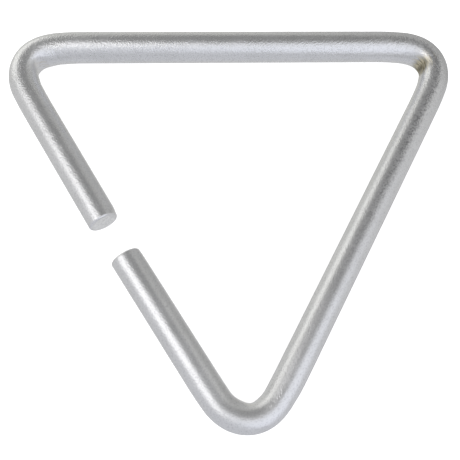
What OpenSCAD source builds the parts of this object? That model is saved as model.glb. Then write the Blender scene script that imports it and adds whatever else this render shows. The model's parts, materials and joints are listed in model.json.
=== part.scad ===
// Open triangle bent from one length of round steel bar.
// It lies flat on z = 0 with its closed side towards +Y and the open side towards -X.
// The origin is the middle of its footprint, on the surface that it lies on.

/* [Bar] */
// Diameter of the round bar
bar_d = 10; // [6:0.5:14]
// Chamfer round each cut end
end_chamfer = 0.6; // [0.2:0.1:1.5]

/* [Triangle] */
// Straight length of each closed side, between its two bends
straight_l = 118; // [90:1:200]
// Radius of the three bends, at the middle of the bar
bend_r = 11.2; // [8:0.1:20]
// How much thinner the bar is drawn where it is bent
bend_thinning = 0.2; // [0.1:0.1:0.6]
// Angle that each half of the open side springs outward
spring_out = 0.8; // [0:0.1:3]

/* [Opening] */
// Length left out of the middle of the open side
open_l = 12.8; // [6:0.2:40]

/* [Hidden] */
$fn = 96;
bar_r = bar_d / 2;
bend_d = bar_d - bend_thinning;
// The bar turns through this angle at a true corner of the triangle
corner_turn = 120;
// A bend runs on inside the straight bar at both its ends by this angle, which joins them into one solid
bend_overlap = 1.5;
// Outward directions of the three sides, measured from +X
top_side = 90;
left_side = 210;
right_side = 330;
// The bends' centres form an equilateral triangle whose side is straight_l
centre_rise = straight_l * sin(60) / 2;
top_left = [-straight_l / 2, centre_rise];
top_right = [straight_l / 2, centre_rise];
apex = [0, -centre_rise];
half_side_l = (straight_l - open_l) / 2;

// Places its children at a bend's centre, turned so that +X points in the outward direction
module at_bend(centre, outward) {
    translate([centre.x, centre.y, bar_r])
        rotate([0, 0, outward])
            children();
}

// Arc of bar that starts at the outward direction and turns anticlockwise through the angle
module bend(centre, outward, angle) {
    at_bend(centre, outward - bend_overlap)
        rotate_extrude(angle = angle + 2 * bend_overlap)
            translate([bend_r, 0])
                circle(d = bend_d);
}

// Turns its children's +Z along the bar as it leaves a bend: heading is 1 anticlockwise, -1 clockwise
module leaving_bend(centre, outward, heading) {
    at_bend(centre, outward)
        translate([bend_r, 0, 0])
            rotate([-heading * 90, 0, 0])
                children();
}

// Straight bar between two bends
module closed_side(centre, outward) {
    leaving_bend(centre, outward, -1)
        cylinder(r = bar_r, h = straight_l);
}

// Half of the open side: straight bar that ends in a chamfered square cut
module cut_half(centre, outward, heading) {
    leaving_bend(centre, outward, heading)
        rotate_extrude()
            polygon([
                [0, 0],
                [bar_r, 0],
                [bar_r, half_side_l - end_chamfer],
                [bar_r - end_chamfer, half_side_l],
                [0, half_side_l]
            ]);
}

module bent_bar() {
    color("silver")
        union() {
            cut_half(top_left, left_side - spring_out, 1);
            bend(top_left, top_side, corner_turn - spring_out);
            closed_side(top_left, top_side);
            bend(top_right, right_side, corner_turn);
            closed_side(top_right, right_side);
            bend(apex, left_side + spring_out, corner_turn - spring_out);
            cut_half(apex, left_side + spring_out, -1);
        }
}

bent_bar();
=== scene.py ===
"""An open triangle of satin-plated steel bar, lying on a pale studio floor."""
import json
import math
from types import SimpleNamespace

import bpy
from mathutils import Matrix, Vector, noise


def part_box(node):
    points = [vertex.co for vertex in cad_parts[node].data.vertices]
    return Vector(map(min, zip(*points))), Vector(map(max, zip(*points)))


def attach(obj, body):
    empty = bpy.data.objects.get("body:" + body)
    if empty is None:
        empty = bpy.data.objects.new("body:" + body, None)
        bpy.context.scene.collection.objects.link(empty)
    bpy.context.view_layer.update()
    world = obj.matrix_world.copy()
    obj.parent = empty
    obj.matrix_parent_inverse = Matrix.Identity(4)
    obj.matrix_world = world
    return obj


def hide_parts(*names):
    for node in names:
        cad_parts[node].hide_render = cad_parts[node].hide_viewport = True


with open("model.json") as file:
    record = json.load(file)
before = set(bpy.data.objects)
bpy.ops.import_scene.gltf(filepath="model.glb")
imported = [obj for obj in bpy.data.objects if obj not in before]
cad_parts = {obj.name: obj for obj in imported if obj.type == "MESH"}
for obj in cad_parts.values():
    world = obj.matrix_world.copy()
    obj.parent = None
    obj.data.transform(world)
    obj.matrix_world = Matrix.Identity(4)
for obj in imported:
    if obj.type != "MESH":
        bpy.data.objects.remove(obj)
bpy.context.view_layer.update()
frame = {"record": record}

MM = 0.001
DEG = math.pi / 180
UP = Vector((0, 0, 1))

# ---------------------------------------------------------------- the bar's sizes, from the frame
bar_low, bar_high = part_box("bent_bar")
CENTRE = (bar_low + bar_high) / 2
MOUNTS = {mount["name"]: mount for mount in frame["record"]["mounts"]}
BAR_R = MOUNTS["upper_free_end"]["dims"]["r_mm"] * MM
BEND_R = BAR_R + MOUNTS["hanging_bend"]["dims"]["r_mm"] * MM    # to the bar's middle line
SIDE_L = MOUNTS["top_side"]["dims"]["length_mm"] * MM           # straight bar between two bends
CORNER_TURN = 120 * DEG     # from one closed side to the next, in a triangle of equal sides

# ---------------------------------------------------------------- the mesh
RING_STEP = 0.5 * MM        # spacing of the rings along the bar
RING_SIDES = 112            # points round each ring
ROUND_RINGS = 6             # rings in the rounded edge of a cut end
FACE_RINGS = 16             # rings from that edge to the middle of the end face

# ---------------------------------------------------------------- marks of drawing, bending and cutting
# A width or a spread is the distance from a mark's middle to where it has faded to 1/e, along the
# bar and round it. A turn is the place of a mark round the bar, from its outer side over its top.
WAVE_SIZE = 5.0 * MM        # slow unevenness of the drawn bar
WAVE_DEPTH = 0.016 * MM
FINE_WAVE = 3.1             # a second wave is so many times finer,
FINE_WAVE_SHARE = 0.6       # this strong beside the first,
FINE_WAVE_OFFSET = UP * 7   # and moved, so that the two don't line up
STROKE_TWIST = 0.75         # slope of the finishing strokes: turn round the bar for each step along it

END_ROUND = 0.75 * MM       # radius of the edge of each cut end
# For the upper and the lower cut end, filed on the side that faces into the triangle: how much
# wider the edge is there, and how far the bar is filed down just before it
END_WEAR = (1.0 * MM, 0.2 * MM)
END_TAPER = (0.45 * MM, 0.08 * MM)
END_TAPER_WIDTH = 1.5 * MM
FILED_TURN = 158 * DEG
FILED_SPREAD = 42 * DEG
SAW_PITCH = 0.9 * MM        # marks of the cut across each end face
SAW_DEPTH = 0.02 * MM
SAW_SLOPE = 0.6             # how far they lean away from upright
SAW_STRAY = 1.3             # how far they stray from straight, in radians of a mark
SAW_STRAY_SIZE = 1.0 * MM
SAWN_EDGE = 0.4             # how sawn the rounded edge is where it meets the face, which has 1

FLANK_AT = 9.1 * MM         # a bend is flattest this far from its middle, along the bar
FLANK_WIDTH = 5.2 * MM
THIN_DEPTH = 0.09 * MM      # the bar is stretched thinner by this much on the outer side of a bend
THIN_WIDTH = 9.0 * MM
THIN_POWER = 2              # of the cosine of the turn from that side, which fades the thinning
DENT_POWER = 2.4            # the same for a dent and the inner side
# For each bend, from first to last along the bar, with each pair being before and after its middle:
# how far its flanks lie inside a true arc, how much narrower the bar is there on each side, the
# depth of the bending tool's dent on its inner side, where that dent is from the bend's middle, the
# dent's width, and how strongly the bend's inner side is stained
BENDS = [
    {"flanks": (0.22 * MM, 0.56 * MM), "squeeze": (0, 0), "dent": 1.75 * MM, "dent_at": 0.2 * MM,
     "dent_width": 3.9 * MM, "stain": 0.27},
    {"flanks": (0.49 * MM, 0.40 * MM), "squeeze": (0, 0), "dent": 1.3 * MM, "dent_at": 0.4 * MM,
     "dent_width": 4.2 * MM, "stain": 1.2},
    {"flanks": (0.37 * MM, 0.22 * MM), "squeeze": (0.23 * MM, 0.10 * MM), "dent": 0.55 * MM,
     "dent_at": -1.0 * MM, "dent_width": 3.5 * MM, "stain": 0.25},
]
STAIN_AT = 2.2 * MM         # middle of the stain, past the middle of its bend
STAIN_WIDTH = 5.0 * MM
STAIN_TURN = 185 * DEG
STAIN_SPREAD = 68 * DEG
PITS_AT = 28 * MM           # middle of the pitted stretch, past the middle of the second bend
PITS_WIDTH = 55 * MM
PITS_TURN = 92 * DEG
PITS_SPREAD = 18 * DEG


def bump_at(place, middle, width):
    """How strong a mark is at a place: 1 at its middle, and 1/e at its width from there."""
    return math.exp(-(((place - middle) / width) ** 2))


class Station:
    """One place along the bar: its middle, its direction and how far along the bar it is.

    Its marks start at none. Shift moves the section outward. Thin, dent and taper lower its outer
    side, its inner side and its filed side, and squeeze narrows it. Stain and pits are strengths."""

    def __init__(self, middle, along):
        self.middle = middle.copy()
        self.along = along.normalized()
        self.outward = UP.cross(self.along).normalized()
        self.travel = 0.0
        self.shift = self.thin = self.dent = self.taper = self.squeeze = 0.0
        self.stain = self.pits = 0.0


def straight_stations(start, end):
    """Stations from a start up to the last one before an end."""
    steps = max(2, round((end - start).length / RING_STEP))
    return [Station(start.lerp(end, i / steps), end - start) for i in range(steps)]


def bend_stations(start, along, angle):
    """Stations round a bend to the right that starts at a point and turns through an angle."""
    centre = start - UP.cross(along).normalized() * BEND_R
    steps = round(angle * BEND_R / RING_STEP)
    turns = [Matrix.Rotation(-angle * i / steps, 3, UP) for i in range(steps)]
    return [Station(centre + turn @ (start - centre), turn @ along) for turn in turns]


def free_end(name):
    """Where a free end's straight bar starts, and where it ends before its rounded edge."""
    mount = MOUNTS[name]
    middle, axis = Vector(mount["pos_m"]), Vector(mount["axis"]).normalized()
    half = mount["dims"]["length_mm"] * MM / 2
    return middle - axis * half, middle + axis * half


def bar_stations():
    """Stations from the upper cut end, round the three bends, to the lower cut end.

    The second result is how far along the bar the middle of each bend is."""
    upper_root, upper_tip = free_end("upper_free_end")
    lower_root, lower_tip = free_end("lower_free_end")
    top_mid = Vector(MOUNTS["top_side"]["pos_m"])
    top_dir = Vector(MOUNTS["top_side"]["axis"]).normalized()
    top_start, top_end = top_mid - top_dir * SIDE_L / 2, top_mid + top_dir * SIDE_L / 2
    first_dir = (upper_root - upper_tip).normalized()
    last_dir = (lower_tip - lower_root).normalized()
    right_dir = Matrix.Rotation(-CORNER_TURN, 3, UP) @ top_dir
    right_start = top_end + (UP.cross(right_dir) - UP.cross(top_dir)) * BEND_R
    right_end = right_start + right_dir * SIDE_L
    parts = [
        straight_stations(upper_tip, upper_root),
        bend_stations(upper_root, first_dir, first_dir.angle(top_dir)),
        straight_stations(top_start, top_end),
        bend_stations(top_end, top_dir, CORNER_TURN),
        straight_stations(right_start, right_end),
        bend_stations(right_end, right_dir, right_dir.angle(last_dir)),
        straight_stations(lower_root, lower_tip) + [Station(lower_tip, last_dir)],
    ]
    stations = [station for part in parts for station in part]
    for before, after in zip(stations, stations[1:]):
        after.travel = before.travel + (after.middle - before.middle).length
    middles = [part[len(part) // 2].travel for part in parts[1::2]]
    return stations, middles


def mark_stations(stations, middles):
    """Give each station its share of the filed ends, the pitted stretch and the bends' marks."""
    for station in stations:
        station.taper += END_TAPER[0] * bump_at(station.travel, 0, END_TAPER_WIDTH)
        station.taper += END_TAPER[1] * bump_at(station.travel, stations[-1].travel, END_TAPER_WIDTH)
        station.pits = bump_at(station.travel, middles[1] + PITS_AT, PITS_WIDTH)
        for bend, middle in zip(BENDS, middles):
            place = station.travel - middle
            for flank, side in ((0, -1), (1, 1)):
                weight = bump_at(place, side * FLANK_AT, FLANK_WIDTH)
                station.shift -= weight * bend["flanks"][flank]
                station.squeeze += weight * bend["squeeze"][flank]
            station.dent += bend["dent"] * bump_at(place, bend["dent_at"], bend["dent_width"])
            station.thin += THIN_DEPTH * bump_at(place, 0, THIN_WIDTH)
            station.stain += bend["stain"] * bump_at(place, STAIN_AT, STAIN_WIDTH)


def wave(point):
    """Slow unevenness of the surface at a point, mostly from -1 to 1."""
    fine = noise.noise(point / WAVE_SIZE * FINE_WAVE + FINE_WAVE_OFFSET)
    return noise.noise(point / WAVE_SIZE) + FINE_WAVE_SHARE * fine


def ring(station, radius, beyond=0.0, filed=0.0):
    """The points round one section, with where each is round the bar.

    Beyond moves the points along the bar, and filed draws them in on the filed side."""
    points = []
    scale = radius / BAR_R
    for k in range(RING_SIDES):
        turn = 2 * math.pi * k / RING_SIDES
        out, high = math.cos(turn), math.sin(turn)
        inset = station.dent * max(0, -out) ** DENT_POWER
        inset += station.thin * max(0, out) ** THIN_POWER
        inset += station.squeeze
        reach = radius - scale * inset
        reach -= (filed + scale * station.taper) * bump_at(turn, FILED_TURN, FILED_SPREAD)
        point = station.middle + station.along * beyond + station.outward * station.shift
        point += station.outward * out * reach + UP * high * radius
        point -= (station.outward * out + UP * high) * scale * WAVE_DEPTH * (1 + wave(point))
        points.append((point, turn))
    return points


def end_rings(station, side, wear):
    """The rounded edge and the face of a cut end, from its edge inward, with how sawn each ring is.

    Side is -1 where the bar begins and 1 where it ends."""
    rings = []
    for i in range(1, ROUND_RINGS + 1):
        turn = math.pi / 2 * i / ROUND_RINGS
        radius = BAR_R - END_ROUND * (1 - math.cos(turn))
        filed = wear * (1 - math.cos(turn))
        points = ring(station, radius, side * END_ROUND * math.sin(turn), filed)
        rings.append((station, points, SAWN_EDGE * i / ROUND_RINGS))
    across_marks = (station.outward + UP * SAW_SLOPE).normalized()
    for i in range(1, FACE_RINGS):
        inward = 1 - i / FACE_RINGS
        points = ring(station, (BAR_R - END_ROUND) * inward, side * END_ROUND, wear * inward)
        for point, _ in points:
            across = (point - station.middle).dot(across_marks)
            stray = SAW_STRAY * noise.noise(point / SAW_STRAY_SIZE)
            mark = math.sin(across / SAW_PITCH * 2 * math.pi + stray)
            point -= station.along * side * SAW_DEPTH * (1 + mark)
        rings.append((station, points, 1.0))
    return rings


def bar_faces(ring_count):
    """Four-sided faces between the rings, then three-sided ones round the hub of each end face."""
    faces = []
    for i in range(ring_count - 1):
        for k in range(RING_SIDES):
            a, b = i * RING_SIDES + k, i * RING_SIDES + (k + 1) % RING_SIDES
            faces.append((a, b, b + RING_SIDES, a + RING_SIDES))
    first_hub = ring_count * RING_SIDES
    last_hub = first_hub + 1
    last_ring = first_hub - RING_SIDES
    for k in range(RING_SIDES):
        faces.append(((k + 1) % RING_SIDES, k, first_hub))
    for k in range(RING_SIDES):
        faces.append((last_ring + k, last_ring + (k + 1) % RING_SIDES, last_hub))
    return faces


def add_attribute(mesh, name, values):
    """Store a number, or a vector's three in turn, per point under a name that the material reads."""
    is_number = len(values) == len(mesh.vertices)
    layer = mesh.attributes.new(name, "FLOAT" if is_number else "FLOAT_VECTOR", "POINT")
    layer.data.foreach_set("value" if is_number else "vector", values)


def build_bar():
    """The bar as one closed mesh, with how sawn, stained and pitted each point is.

    Drawn and strokes are each point's place on the bar as if it were straight, and strokes twists
    round it."""
    stations, middles = bar_stations()
    mark_stations(stations, middles)
    first, last = stations[0], stations[-1]
    rings = [(station, ring(station, BAR_R), 0.0) for station in stations]
    rings = [*reversed(end_rings(first, -1, END_WEAR[0])), *rings, *end_rings(last, 1, END_WEAR[1])]
    verts = []
    marks = {"sawn": [], "stain": [], "pitted": [], "strokes": [], "drawn": []}
    for station, points, cut in rings:
        for point, turn in points:
            verts.append(point)
            marks["sawn"].append(cut)
            marks["stain"].append(station.stain * bump_at(turn, STAIN_TURN, STAIN_SPREAD))
            marks["pitted"].append(station.pits * bump_at(turn, PITS_TURN, PITS_SPREAD))
            twisted = turn + STROKE_TWIST * station.travel / BAR_R
            marks["strokes"] += [station.travel, BAR_R * math.cos(twisted), BAR_R * math.sin(twisted)]
            marks["drawn"] += [station.travel, BAR_R * math.cos(turn), BAR_R * math.sin(turn)]
    for station, side in ((first, -1), (last, 1)):
        verts.append(station.middle + station.along * side * (END_ROUND - SAW_DEPTH))
        marks["sawn"].append(1.0)
        marks["stain"].append(0.0)
        marks["pitted"].append(0.0)
        marks["strokes"] += [station.travel, 0, 0]
        marks["drawn"] += [station.travel, 0, 0]
    mesh = bpy.data.meshes.new("bar_skin")
    mesh.from_pydata(verts, [], bar_faces(len(rings)))
    mesh.polygons.foreach_set("use_smooth", [True] * len(mesh.polygons))
    for name, values in marks.items():
        add_attribute(mesh, name, values)
    mesh.update()
    piece = bpy.data.objects.new("bar_skin", mesh)
    bpy.context.collection.objects.link(piece)
    return piece


# ---------------------------------------------------------------- nodes
MIX_FIRST, MIX_SECOND, MIX_RESULT = 6, 7, 2     # the colour sockets of a Mix node, by number


def add_node(tree, kind, settings=None, sockets=None):
    """A node with its properties set, and its sockets set to a value or linked to an output."""
    node = tree.nodes.new(kind)
    for name, value in (settings or {}).items():
        setattr(node, name, value)
    for key, value in (sockets or {}).items():
        if isinstance(value, bpy.types.NodeSocket):
            tree.links.new(value, node.inputs[key])
        else:
            node.inputs[key].default_value = value
    return node


def read_attribute(tree, name, output="Fac"):
    return add_node(tree, "ShaderNodeAttribute", {"attribute_name": name}).outputs[output]


def noise_at(tree, place, size, detail=2.0, stretch=1.0):
    """Noise round 0.5 with features of a size in metres, stretched along the place's first axis."""
    scale = (1 / stretch, 1, 1)
    mapped = add_node(tree, "ShaderNodeMapping", None, {"Vector": place, "Scale": scale})
    sockets = {"Vector": mapped.outputs["Vector"], "Scale": 1 / size, "Detail": detail}
    return add_node(tree, "ShaderNodeTexNoise", None, sockets).outputs["Fac"]


def remap(tree, value, span, result=(0.0, 1.0), smooth=False):
    """Map a span of a value onto a span of results, and hold it inside that."""
    settings = {"interpolation_type": "SMOOTHSTEP"} if smooth else {}
    sockets = {"Value": value, "From Min": span[0], "From Max": span[1]}
    sockets.update({"To Min": result[0], "To Max": result[1]})
    return add_node(tree, "ShaderNodeMapRange", settings, sockets).outputs["Result"]


def mix_colour(tree, factor, first, second):
    sockets = {"Factor": factor, MIX_FIRST: first, MIX_SECOND: second}
    return add_node(tree, "ShaderNodeMix", {"data_type": "RGBA"}, sockets).outputs[MIX_RESULT]


def maths(tree, operation, first, second):
    node = add_node(tree, "ShaderNodeMath", {"operation": operation}, {0: first, 1: second})
    return node.outputs["Value"]


# ---------------------------------------------------------------- material
PLATING_TONES = ((0.742, 0.745, 0.747, 1), (0.778, 0.78, 0.785, 1))     # mixed in slow patches
PORE_TONE = (0.55, 0.55, 0.56, 1)
PIT_TONE = (0.38, 0.38, 0.39, 1)
STAIN_TONES = ((0.22, 0.20, 0.13, 1), (0.60, 0.55, 0.42, 1))            # mixed in streaks
STAIN_CORE_TONE = (0.05, 0.045, 0.03, 1)
SAWN_TONES = ((0.76, 0.76, 0.75, 1), (0.93, 0.93, 0.92, 1))             # mixed in specks

DIMPLE_SIZE = 0.50 * MM
SPECK_SIZE = 0.72 * MM
PATCH_SIZE = 9 * MM
STROKE_SIZE = 0.42 * MM
STROKE_STRETCH = 3.0        # how many times longer than wide
WRINKLE_SIZE = 0.55 * MM
WRINKLE_STRETCH = 9

# Over each span of a noise, of a mark or of the place's Y, an effect goes from none to full, or
# from the first to the second value of the pair under it
PATCH_SPAN = (0.35, 0.65)
PORE_SPAN = (0.32, 0.50)    # of the dimples, the deepest of which are pores
PORE_STRENGTH = (0.5, 0.0)
PIT_SPAN = (0.42, 0.52)     # of the specks
PIT_STRENGTH = (0.8, 0.0)
STREAK_SPAN = (0.45, 0.57)  # of the wrinkles
RAGGED_SPAN = (0.3, 0.7)    # of the wrinkles, which make the stain's edge ragged
RAGGED_SHIFT = (-0.2, 0.2)
STAIN_SPAN = (0.2, 0.75)
STAIN_CORE_SPAN = (1.0, 1.35)
SAWN_SPECK_SPAN = (0.38, 0.62)
SAWN_SPAN = (0.1, 0.9)

GLOSS_SPAN = (-25 * MM, 50 * MM)
GLOSS_ROUGHNESS = (0.32, 0.27)
PATCH_GLOSS_SPAN = (0.3, 0.7)
PATCH_ROUGHNESS = (-0.02, 0.02)
PORE_ROUGHNESS = 0.10       # added by a pore, a stain or a sawn place of strength 1
STAIN_ROUGHNESS = 0.06
SAWN_ROUGHNESS = 0.08

WORN_SPAN = (-40 * MM, 10 * MM)
WORN_GRAIN = (0.5, 0.9)
STROKE_SHARE = 0.8          # depth of the finishing strokes beside the dimples
GRAIN_DEPTH = 0.10 * MM     # height that the bump gives to a noise of 1


def metal_fields(tree):
    """What the metal's colour, gloss and grain are worked out from at each place on it."""
    place = add_node(tree, "ShaderNodeTexCoord").outputs["Object"]
    strokes = read_attribute(tree, "strokes", "Vector")
    drawn = read_attribute(tree, "drawn", "Vector")
    dimples = noise_at(tree, place, DIMPLE_SIZE, detail=1)
    return SimpleNamespace(
        sawn=read_attribute(tree, "sawn"),
        stain=read_attribute(tree, "stain"),
        pitted=read_attribute(tree, "pitted"),
        dimples=dimples,
        pores=remap(tree, dimples, PORE_SPAN, PORE_STRENGTH),
        feathers=noise_at(tree, strokes, STROKE_SIZE, detail=1, stretch=STROKE_STRETCH),
        wrinkles=noise_at(tree, drawn, WRINKLE_SIZE, stretch=WRINKLE_STRETCH),
        specks=noise_at(tree, place, SPECK_SIZE),
        patches=noise_at(tree, place, PATCH_SIZE, detail=3),
        toward_top=add_node(tree, "ShaderNodeSeparateXYZ", None, {"Vector": place}).outputs["Y"],
    )


def metal_tone(tree, at):
    """Cool plated metal with darker pores and pits, the tool's brown stain, and the sawn ends."""
    tone = mix_colour(tree, remap(tree, at.patches, PATCH_SPAN), *PLATING_TONES)
    tone = mix_colour(tree, at.pores, tone, PORE_TONE)
    pits = maths(tree, "MULTIPLY", remap(tree, at.specks, PIT_SPAN, PIT_STRENGTH), at.pitted)
    tone = mix_colour(tree, pits, tone, PIT_TONE)
    brown = mix_colour(tree, remap(tree, at.wrinkles, STREAK_SPAN), *STAIN_TONES)
    ragged = remap(tree, at.wrinkles, RAGGED_SPAN, RAGGED_SHIFT)
    stain = maths(tree, "ADD", at.stain, ragged)
    tone = mix_colour(tree, remap(tree, stain, STAIN_SPAN), tone, brown)
    tone = mix_colour(tree, remap(tree, stain, STAIN_CORE_SPAN), tone, STAIN_CORE_TONE)
    sawn_tone = mix_colour(tree, remap(tree, at.specks, SAWN_SPECK_SPAN), *SAWN_TONES)
    return mix_colour(tree, remap(tree, at.sawn, SAWN_SPAN), tone, sawn_tone)


def metal_roughness(tree, at):
    """Smoother towards the top side, and duller in the pores, on the stain and on the sawn faces."""
    rough = remap(tree, at.toward_top, GLOSS_SPAN, GLOSS_ROUGHNESS)
    rough = maths(tree, "ADD", rough, remap(tree, at.patches, PATCH_GLOSS_SPAN, PATCH_ROUGHNESS))
    marks = ((at.pores, PORE_ROUGHNESS), (at.stain, STAIN_ROUGHNESS), (at.sawn, SAWN_ROUGHNESS))
    for mark, added in marks:
        rough = maths(tree, "ADD", rough, maths(tree, "MULTIPLY", mark, added))
    return rough


def metal_grain(tree, at):
    """Dimples and slanting strokes, fainter towards the apex, and lengthwise wrinkles in the stain."""
    grain = maths(tree, "ADD", at.dimples, maths(tree, "MULTIPLY", at.feathers, STROKE_SHARE))
    grain = maths(tree, "MULTIPLY", grain, remap(tree, at.toward_top, WORN_SPAN, WORN_GRAIN))
    grain = maths(tree, "ADD", grain, maths(tree, "MULTIPLY", at.wrinkles, at.stain))
    sockets = {"Height": grain, "Distance": GRAIN_DEPTH, "Strength": 1.0}
    return add_node(tree, "ShaderNodeBump", None, sockets).outputs["Normal"]


def satin_metal():
    material = bpy.data.materials.new("satin_plated_steel")
    material.use_nodes = True
    tree = material.node_tree
    shader = tree.nodes["Principled BSDF"]
    shader.inputs["Metallic"].default_value = 1.0
    at = metal_fields(tree)
    tree.links.new(metal_tone(tree, at), shader.inputs["Base Color"])
    tree.links.new(metal_roughness(tree, at), shader.inputs["Roughness"])
    tree.links.new(metal_grain(tree, at), shader.inputs["Normal"])
    return material


# ---------------------------------------------------------------- studio
# A direction is given in degrees, by its tilt from straight up and its heading from +X
FLOOR_SIZE = 6.0            # in metres, like the lights' distance
FLOOR_TONE = (0.9, 0.9, 0.9, 1)
FLOOR_GLOW = 0.75
WHITE = (1, 1, 1, 1)
LIGHT_DISTANCE = 1.3
# Tones of the even light from all round, and the spans of a direction's Y over which one turns
# into the next: the front is -Y, and the back is +Y
FRONT = (0.655, 0.665, 0.705, 1)
SIDES = (0.67, 0.67, 0.672, 1)
BACK = (0.675, 0.675, 0.65, 1)
FRONT_TO_SIDES = (-0.9, 0.1)
SIDES_TO_BACK = (0.1, 0.9)
# Dark cards out of sight, which the metal shows as dark bands: each one's direction, its
# half-angle, how soft its edge is, and its tone
CARDS = [
    {"tilt": 33, "heading": 95, "half_angle": 35, "soft": 9, "tone": (0.288, 0.288, 0.288, 1)},
    {"tilt": 97, "heading": 46, "half_angle": 34, "soft": 9, "tone": (0.46, 0.46, 0.455, 1)},
]
# Each softbox: its direction, its half-angle, its brightness and its colour
SOFTBOXES = {
    "key": {"tilt": 33.6, "heading": 189, "half_angle": 25.2, "radiance": 0.905,
            "colour": (1, 0.99, 0.995)},
    "fill": {"tilt": 49, "heading": -49, "half_angle": 34, "radiance": 0.41,
             "colour": (0.84, 0.88, 1)},
    "back": {"tilt": 72, "heading": 132, "half_angle": 22.5, "radiance": 0.50,
             "colour": (1, 0.995, 0.965)},
}


def direction(tilt, heading):
    tilt, heading = tilt * DEG, heading * DEG
    flat = math.sin(tilt)
    return Vector((flat * math.cos(heading), flat * math.sin(heading), math.cos(tilt)))


def make_floor():
    """A pale floor that glows a little. The metal doesn't show it, and it holds no light back."""
    bpy.ops.mesh.primitive_plane_add(size=FLOOR_SIZE, location=(CENTRE.x, CENTRE.y, 0))
    floor = bpy.context.object
    floor.name = "studio_floor"
    material = bpy.data.materials.new("pale_floor")
    material.use_nodes = True
    shader = material.node_tree.nodes["Principled BSDF"]
    shader.inputs["Base Color"].default_value = FLOOR_TONE
    shader.inputs["Roughness"].default_value = 1.0
    shader.inputs["Specular IOR Level"].default_value = 0.0
    shader.inputs["Emission Color"].default_value = WHITE
    shader.inputs["Emission Strength"].default_value = FLOOR_GLOW
    floor.data.materials.append(material)
    floor.visible_glossy = False
    floor.visible_shadow = False


def make_softbox(name, tilt, heading, half_angle, radiance, colour):
    """A round softbox that faces the bar's centre, and covers its half-angle as seen from there."""
    light = bpy.data.lights.new(name, "AREA")
    light.shape = "DISK"
    light.size = 2 * LIGHT_DISTANCE * math.tan(half_angle * DEG)
    area = math.pi * (light.size / 2) ** 2
    light.energy = radiance * math.pi * area    # what a flat lamp of this radiance gives off
    light.color = colour
    lamp = bpy.data.objects.new(name, light)
    out = direction(tilt, heading)
    lamp.location = CENTRE + out * LIGHT_DISTANCE
    lamp.rotation_mode = "QUATERNION"
    lamp.rotation_quaternion = (-out).to_track_quat("-Z", "Y")
    lamp.visible_camera = False
    bpy.context.collection.objects.link(lamp)


def make_world():
    """Pale light from all round with the dark cards in it, and a plain white backdrop."""
    world = bpy.data.worlds.new("studio_air")
    bpy.context.scene.world = world
    world.use_nodes = True
    tree = world.node_tree
    place = add_node(tree, "ShaderNodeTexCoord").outputs["Generated"]
    toward_back = add_node(tree, "ShaderNodeSeparateXYZ", None, {"Vector": place}).outputs["Y"]
    air = mix_colour(tree, remap(tree, toward_back, FRONT_TO_SIDES, smooth=True), FRONT, SIDES)
    air = mix_colour(tree, remap(tree, toward_back, SIDES_TO_BACK, smooth=True), air, BACK)
    for card in CARDS:
        toward = direction(card["tilt"], card["heading"])
        settings = {"operation": "DOT_PRODUCT"}
        cosine = add_node(tree, "ShaderNodeVectorMath", settings, {0: place, 1: toward}).outputs["Value"]
        outer = math.cos((card["half_angle"] + card["soft"]) * DEG)
        inner = math.cos((card["half_angle"] - card["soft"]) * DEG)
        air = mix_colour(tree, remap(tree, cosine, (outer, inner), smooth=True), air, card["tone"])
    seen = add_node(tree, "ShaderNodeLightPath").outputs["Is Camera Ray"]
    air = mix_colour(tree, seen, air, WHITE)
    tree.links.new(air, tree.nodes["Background"].inputs["Color"])


# ---------------------------------------------------------------- camera
CAMERA_TILT = 12.844        # the direction in which it stands
CAMERA_HEADING = -104.871
CAMERA_ROLL = 12.942        # in degrees
CAMERA_DISTANCE = 33.706 * BAR_R
CAMERA_AIM = Vector((-3.92 * MM, -19.47 * MM, 0))   # what it looks at, from the bar's centre
SENSOR_WIDTH = 36           # as the lens, in millimetres
LENS = 42.078
SHIFT_UP = 0.104            # of the view, as a share of its width
NEAREST, FURTHEST = 0.01, 20                        # what it can see, in metres


def make_camera():
    data = bpy.data.cameras.new("camera")
    data.sensor_width = SENSOR_WIDTH
    data.lens = LENS
    data.shift_y = SHIFT_UP
    data.clip_start, data.clip_end = NEAREST, FURTHEST
    camera = bpy.data.objects.new("camera", data)
    out = direction(CAMERA_TILT, CAMERA_HEADING)
    camera.location = CENTRE + CAMERA_AIM + out * CAMERA_DISTANCE
    camera.rotation_mode = "QUATERNION"
    level = (-out).to_track_quat("-Z", "Y")
    roll = Matrix.Rotation(CAMERA_ROLL * DEG, 4, "Z").to_quaternion()
    camera.rotation_quaternion = level @ roll
    bpy.context.collection.objects.link(camera)
    bpy.context.scene.camera = camera


bar = build_bar()
bar.data.materials.append(satin_metal())
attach(bar, "root")
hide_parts("bent_bar")

make_floor()
make_world()
for box_name, box_facts in SOFTBOXES.items():
    make_softbox(box_name, **box_facts)
make_camera()
bpy.context.scene.view_settings.view_transform = "Standard"
